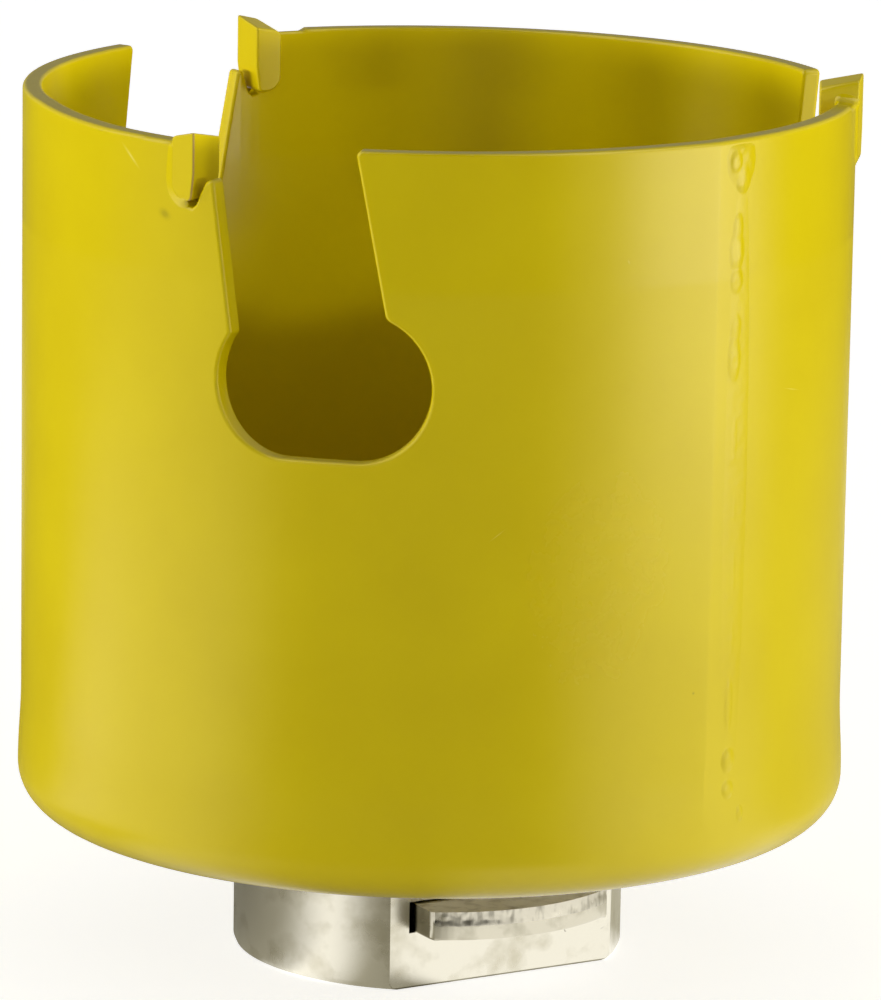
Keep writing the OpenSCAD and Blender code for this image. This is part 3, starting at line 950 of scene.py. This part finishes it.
hub = spin_profile("hub", [
    (0, 0), (HUB_R - HUB_EDGE, 0), (HUB_R - HUB_EDGE_MID, HUB_EDGE_MID), (HUB_R, HUB_EDGE),
    (HUB_R, disc_low.z), (SPIGOT_R, disc_low.z), (SPIGOT_R, disc_high.z), (COLLAR_R, disc_high.z),
    (COLLAR_R, hub_high.z - COLLAR_EDGE), (COLLAR_R - COLLAR_EDGE, hub_high.z), (0, hub_high.z)])
side_turn = math.radians(30)
drill(hub, SOCKET_FLATS / 2 / math.cos(side_turn), (0, 0, 9 * MM), SOCKET_REACH, 6, side_turn)
cut(hub, add_box((-OUTSIDE, -OUTSIDE, -1 * MM), (OUTSIDE, FLAT_Y, disc_low.z)))
cut(hub, add_box((-SLOT_W / 2, -OUTSIDE, SLOT_LOW), (SLOT_W / 2, SLOT_BACK, SLOT_HIGH)))
drill(hub, PIN_R, (PIN_X, PIN_Y, PIN_MID), PIN_DEEP, 32)
start_edit(hub)
round_edges(hub, "flat's lower edge", lambda e: is_flat_border(e)
            and everywhere(e, lambda p: p.z < TINY), FILED_EDGE, 3)
round_edges(hub, "flat border", is_flat_border, FLAT_EDGE, 3)
end_edit()
finish_piece("turned_hub", hub, "saw", hub_nickel, ["hub_body"], angle=30)
# Painted shade: the filed edge's downward faces get the dark nickel in place of the shade they mirror.
paint_faces(hub, shade_painted_nickel, lambda f: abs(f.center.x) < PAINTED_SHADE_HALF
            and f.center.y < FLAT_Y + 0.4 * MM and -0.98 < f.normal.z < -0.2)

# %% [markdown]
# The release plate is stamped from 2.4 mm steel and plated with the hub. Its blank is a disc as wide
# as the hub, cut by planes and punches. The die scuffs its top, and its lower edges and its two front
# corners come out of it rounded, so these are bevels. The scuffed top is also given a paler nickel,
# partly painted light that brightens it.

# %% Release plate
PLATE_BACK = 1.6 * MM        # the front's arc has the hub's radius, with its middle this far in front
PLATE_HOLE_R = 6.766 * MM
PLATE_TRAVEL = 2 * MM
PLATE_CORNER = 0.4 * MM
PLATE_EDGE = 0.22 * MM
PIN_SLOT_R = 1.1 * MM
NOTCH_X, NOTCH_HALF, NOTCH_FRONT = 5 * MM, 1.4 * MM, 5.73 * MM
plate_t = plate_high.z - plate_low.z
plate_z = (plate_high.z + plate_low.z) / 2
tall = 3 * plate_t

bpy.ops.mesh.primitive_cylinder_add(vertices=192, radius=HUB_R, depth=plate_t, end_fill_type="NGON",
                                    location=(0, -PLATE_BACK, plate_z))
plate = bpy.context.object
bpy.ops.object.transform_apply()
start_edit(plate)
trim((plate_high.x, 0, 0), ACROSS)
trim((plate_low.x, 0, 0), -ACROSS)
trim((0, plate_high.y, 0), (0, 1, 0))
end_edit()
drill(plate, PLATE_HOLE_R, (0, -PLATE_TRAVEL, plate_z), tall)
for y in (PIN_Y, PIN_Y - PLATE_TRAVEL):
    drill(plate, PIN_SLOT_R, (PIN_X, y, plate_z), tall)
cut(plate, add_box((PIN_X - PIN_SLOT_R, PIN_Y - PLATE_TRAVEL, 0), (PIN_X + PIN_SLOT_R, PIN_Y, tall)))
for middle in (-NOTCH_X, NOTCH_X):
    cut(plate, add_box((middle - NOTCH_HALF, NOTCH_FRONT, 0),
                       (middle + NOTCH_HALF, plate_high.y + PAST, tall)))


def on_front(point, reach=TINY):
    """True for a point of the plate's front arc."""
    return abs(math.hypot(point.x, point.y + PLATE_BACK) - HUB_R) < reach and point.y < -PLATE_BACK


start_edit(plate)
round_edges(plate, "plate's corners", lambda e: everywhere(
    e, lambda p: on_front(p) and abs(abs(p.x) - plate_high.x) < TINY), PLATE_CORNER, 4, clamp=False)
round_edges(plate, "plate's lower edges", lambda e: is_sharp(e, 60) and everywhere(
    e, lambda p: abs(p.z - plate_low.z) < TINY), PLATE_EDGE, 3, clamp=False)
end_edit()

# %% [markdown]
# A stamped edge tells how it was made: the punch first shears a smooth land, and then the rest
# breaks off rough and a little set back. The plate is turned over in its slot, so the rough half is
# the upper one. A bump would leave its outline straight, so the plate is sliced into a fine grid,
# and the points of the break are moved inwards.

# %% The plate's broken edge
GRID_ACROSS = 0.2 * MM
GRID_UP = 0.12 * MM
BREAK_LOW = 6 * MM           # height at which the smooth land ends
BREAK_RISE = 0.35 * MM       # the land is this much higher at the plate's right end
BREAK_WAVER = 0.1 * MM
BREAK_FADE = 0.5 * MM
BREAK_SET = 0.02 * MM
BREAK_DEEP = 0.035 * MM
BREAK_GRAIN = 0.45 * MM


def break_depth(point):
    """How far a point of the front is set back by the break."""
    across = point.x / (0.8 * MM)
    land = BREAK_LOW + BREAK_RISE * max(0, point.x / plate_high.x) ** 2
    land += BREAK_WAVER * noise.noise(Vector((across, 0, 0)))
    torn = min(1, max(0, (point.z - land) / BREAK_FADE))
    tear = Vector((point.x / (0.3 * MM), 0, point.z / (1.2 * MM)))
    grain = noise.noise(point / BREAK_GRAIN) + 0.6 * noise.noise(tear)
    return torn * (BREAK_SET + BREAK_DEEP * (1 + grain))


start_edit(plate)
slice_along(ACROSS, plate_low.x + GRID_ACROSS / 2, plate_high.x, GRID_ACROSS)
slice_along(UPWARDS, BREAK_LOW - 0.2 * MM, plate_high.z - 0.05 * MM, GRID_UP)
end_edit()
moved = 0
for vertex in plate.data.vertices:
    if on_front(vertex.co):
        depth = break_depth(vertex.co)
        vertex.co += Vector((-vertex.co.x, -vertex.co.y - PLATE_BACK, 0)).normalized() * depth
        moved += depth > 0
print("points moved in the break:", moved)
finish_piece("stamped_release_plate", plate, "slide", plate_nickel, ["release_slide"],
             angle=30)
paint_faces(plate, broken_nickel, lambda f: f.center.z > BREAK_LOW + 0.05 * MM
            and on_front(f.center, 0.4 * MM))
# The upward faces get the scuffed nickel, whose paler colour is partly a painted highlight.
paint_faces(plate, scuffed_and_lightened_nickel, lambda f: f.normal.z > 0.9)

# %% [markdown]
# Two small springs push the plate out again. Each is cold-drawn wire, wound on a mandrel. The screw
# modifier winds it the same way: it takes the wire's round section once round the axis for each turn.
# When the plate is pushed in, the real springs flatten towards the slot's back; these coils keep their
# shape.

# %% Plate springs
SPRING_R = 0.925 * MM
WIRE_R = 0.175 * MM
SPRING_TURNS = 7
for name in ("slide_spring_left", "slide_spring_right"):
    low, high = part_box(name)
    pitch = (high.y - low.y - 2 * WIRE_R) / SPRING_TURNS
    bpy.ops.mesh.primitive_circle_add(vertices=10, radius=WIRE_R, location=(SPRING_R, 0, 0))
    spring = bpy.context.object
    bpy.ops.object.transform_apply()
    use(spring, "SCREW", axis="Y", iterations=SPRING_TURNS, screw_offset=pitch, steps=20,
        render_steps=20)
    start_edit(spring)
    bpy.ops.mesh.select_all(action="SELECT")
    bpy.ops.mesh.fill_holes(sides=0)
    face_outwards()
    end_edit()
    spring.location = ((low.x + high.x) / 2, low.y + WIRE_R, plate_z)
    spring = finish_piece("coiled_" + name, spring, "saw", spring_steel, [name])
    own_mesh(spring)
    print("coil from", [round(v / MM, 2) for v in low], "to", [round(v / MM, 2) for v in high])

# %% [markdown]
# Two solids stay as they are and only get finishes. The disc at the cup's bottom is painted with the
# wall. The pin that holds the plate is rolled from spring steel, and only its end could ever be seen.

# %% Finishes of the solids that stay
for name, material in {"base_disc": cup_enamel, "stop_pin": spring_steel}.items():
    solid = bpy.data.objects[name]
    solid.data.materials.clear()
    solid.data.materials.append(material)
    print(name, "is finished with", material.name)

# %% [markdown]
# In a studio, what a glossy thing mirrors matters more than what lights it. White cards beside the
# saw draw the milky bands on its paint, and a dim one in front keeps the middle calm. Cards could be
# built as planes. Here they are rings of light and dark round the saw, each a ramp that runs round
# by azimuth, and only gloss and metal see them.

# %% Rings of light
BRIGHTEST = 4                # ramps hold values up to 1, so the bands are stored as shares of this
MIRROR_LIGHT = 1.25
WHITE_CARD = (1, 0.985, 0.95)
DIM_CARD = (1, 0.95, 0.76)   # the dim places near the cup are tinted by it


def ring_of_light(tree, vector, bands):
    """Light by azimuth from the camera, in degrees, as a ramp round the saw."""
    faced = add(tree, "ShaderNodeMapping", {
        "Vector": vector, "Rotation": (0, 0, math.pi / 2 - CAMERA_AZIMUTH)})
    around = add(tree, "ShaderNodeTexGradient", [faced.outputs["Vector"]], gradient_type="RADIAL")
    ramp = add(tree, "ShaderNodeValToRGB", [around.outputs["Fac"]])
    while len(ramp.color_ramp.elements) < len(bands):
        ramp.color_ramp.elements.new(0.5)
    for element, (azimuth, light) in zip(ramp.color_ramp.elements, bands):
        element.position = 0.5 + azimuth / 360
        card = WHITE_CARD if light > 0.5 else DIM_CARD
        element.color = [light * share / BRIGHTEST for share in card] + [1]
    return ramp.outputs["Color"]


# Azimuth and light of each band's turning points: for the floor from the hub outwards, and the sky
INNER_BANDS = [
    (-180, 0.9), (-165, 0.9), (-150, 0.16), (-95, 0.2), (-62, 0.3), (-50, 0.7), (-43, 1.1),
    (-33, 0.95), (-22, 0.36), (0, 0.28), (10, 1), (80, 1), (100, 0.45), (150, 0.45), (166, 0.9),
    (180, 0.9)]
NEAR_BANDS = [
    (-180, 0.9), (-165, 0.9), (-150, 0.16), (-106, 0.18), (-72, 0.32), (-60, 0.86), (-48, 1.1),
    (-38, 0.8), (-28, 0.34), (0, 0.26), (14, 1), (80, 1), (100, 0.45), (150, 0.45), (166, 0.9),
    (180, 0.9)]
MID_BANDS = [
    (-180, 0.9), (-164, 0.9), (-150, 0.05), (-112, 0.05), (-94, 1), (-54, 1), (-36, 0), (28, 0),
    (44, 1.05), (78, 1.05), (96, 0.22), (150, 0.22), (164, 0.9), (180, 0.9)]
FAR_BANDS = [
    (-180, 0.2), (-150, 0.04), (-100, 0.04), (-72, 0.38), (-52, 0.35), (-32, 0), (30, 0),
    (46, 0.6), (62, 2.9), (84, 3), (98, 0.4), (108, 0.03), (150, 0.04), (180, 0.2)]
SKY_BANDS = [
    (-180, 0.22), (-150, 0.2), (-112, 0.2), (-100, 1), (-58, 1), (-40, 0), (34, 0), (50, 1),
    (84, 1), (96, 0.2), (150, 0.2), (180, 0.22)]
print("turning points on the far floor:", len(FAR_BANDS))

# %% [markdown]
# The set is a plain pale floor. It takes the saw's shadow, and an even glow that only the camera
# sees lifts its grey to white, so no extra light falls on the saw. Gloss and metal see the rings of
# light instead. The hub mirrors the floor nearest to it, the cup's foot mirrors the floor further
# out, and the cup's side mirrors the far floor, so the rings change with the distance.

# %% Floor
FLOOR_HALF = 4.0
FLOOR_DROP = 0.02 * MM
FLOOR_LIFT = 0.73
bpy.ops.mesh.primitive_plane_add(size=2 * FLOOR_HALF, location=(0, 0, -FLOOR_DROP))
floor = bpy.context.object
floor.name = "studio_floor"
floor_paint, tree, ground = new_material("matt_pale_floor")
matt = tree.nodes["Principled BSDF"]
matt.inputs["Base Color"].default_value = linear("#DADAD8")
matt.inputs["Roughness"].default_value = 0.9
matt.inputs["Emission Color"].default_value = (1, 1, 1, 1)
rays = add(tree, "ShaderNodeLightPath")
lift = add(tree, "ShaderNodeMath", [rays.outputs["Is Camera Ray"], FLOOR_LIFT], operation="MULTIPLY")
tree.links.new(lift.outputs[0], matt.inputs["Emission Strength"])
out = add(tree, "ShaderNodeVectorMath", [ground], operation="LENGTH").outputs["Value"]
outer_rings = []
for bands, start, stop in ((NEAR_BANDS, 19 * MM, 44 * MM), (MID_BANDS, 60 * MM, 90 * MM),
                           (FAR_BANDS, 180 * MM, 310 * MM)):
    further = add(tree, "ShaderNodeMapRange", [out, start, stop]).outputs[0]
    outer_rings.append((further, ring_of_light(tree, ground, bands)))
glow = lay_over(tree, ring_of_light(tree, ground, INNER_BANDS), outer_rings)
mirror_glow = add(tree, "ShaderNodeEmission", [glow, MIRROR_LIGHT * BRIGHTEST])
seen = add(tree, "ShaderNodeMixShader", [
    rays.outputs["Is Glossy Ray"], matt.outputs["BSDF"], mirror_glow.outputs["Emission"]])
tree.links.new(seen.outputs["Shader"], tree.nodes["Material Output"].inputs["Surface"])
floor.data.materials.append(floor_paint)
print("the floor is", 2 * FLOOR_HALF, "m wide")

# %% [markdown]
# Two low softboxes stand at the saw's sides, so both flanks are bright and the front is calm. Each
# is a row of narrow suns, because a sun's light is as even on the floor far away as it is beside the
# saw, and a row blurs what one sun alone would draw sharply through a gullet. They stand level with
# the cup, so that its outside is lit and hardly anything falls into it.

# %% Softboxes
SOFTBOX_ROW = (-26, -13, 0, 13, 26)      # azimuths of a softbox's suns, in degrees from its middle
SUN_WIDTH = math.radians(6)
SUN_HEIGHT = math.radians(0.6)
SOFTBOX_LIGHT = 3.85
for name, azimuth in (("left_softbox", -92), ("right_softbox", 89)):
    lamp = bpy.data.lights.new(name, "SUN")
    lamp.energy = SOFTBOX_LIGHT / len(SOFTBOX_ROW)
    lamp.angle = SUN_WIDTH
    for beside in SOFTBOX_ROW:
        light = bpy.data.objects.new(name, lamp)
        bpy.context.scene.collection.objects.link(light)
        turn = CAMERA_AZIMUTH + math.radians(azimuth + beside)
        light.rotation_euler = (math.pi / 2 - SUN_HEIGHT, 0, turn)
        light.visible_glossy = False
    print(name, "has", len(SOFTBOX_ROW), "suns")

# %% [markdown]
# A pale room's light comes from its walls more than from above, so the world's even light is strong
# low down and weak overhead. That keeps the cup's inside darker than its outside. The camera sees
# plain white instead, and gloss sees one more ring of light.

# %% World
ROOM_LIGHT = (0.92, 0.13)    # strength low down and overhead
ROOM_COLOUR = (1, 0.99, 0.97, 1)
OVERHEAD_GAIN = 2.2
world = bpy.data.worlds.new("studio")
bpy.context.scene.world = world
world.use_nodes = True
world.cycles.sampling_method = "NONE"
tree = world.node_tree
tree.nodes.clear()
where = add(tree, "ShaderNodeTexCoord").outputs["Generated"]
height = add(tree, "ShaderNodeSeparateXYZ", [where]).outputs["Z"]
rays = add(tree, "ShaderNodeLightPath")
mirrored = add(tree, "ShaderNodeMath", [rays.outputs["Is Glossy Ray"],
                                        rays.outputs["Is Transmission Ray"]], operation="MAXIMUM")
even = add(tree, "ShaderNodeMapRange", [height, 0.3, 0.7, *ROOM_LIGHT])
ambient = add(tree, "ShaderNodeBackground", [ROOM_COLOUR, even.outputs[0]])
sky_light = MIRROR_LIGHT * BRIGHTEST
overhead = add(tree, "ShaderNodeMapRange", [height, 0.3, 0.9, sky_light, OVERHEAD_GAIN * sky_light])
sky = ring_of_light(tree, where, SKY_BANDS)
surround = add(tree, "ShaderNodeBackground", [sky, overhead.outputs[0]])
backdrop = add(tree, "ShaderNodeBackground", [(1, 1, 1, 1), 1.0])
lit = add(tree, "ShaderNodeMixShader", [
    mirrored.outputs[0], ambient.outputs[0], surround.outputs[0]])
seen = add(tree, "ShaderNodeMixShader", [
    rays.outputs["Is Camera Ray"], lit.outputs[0], backdrop.outputs[0]])
add(tree, "ShaderNodeOutputWorld", {"Surface": seen.outputs[0]})
bpy.context.scene.view_settings.view_transform = "Standard"
print("nodes in the world:", len(tree.nodes))
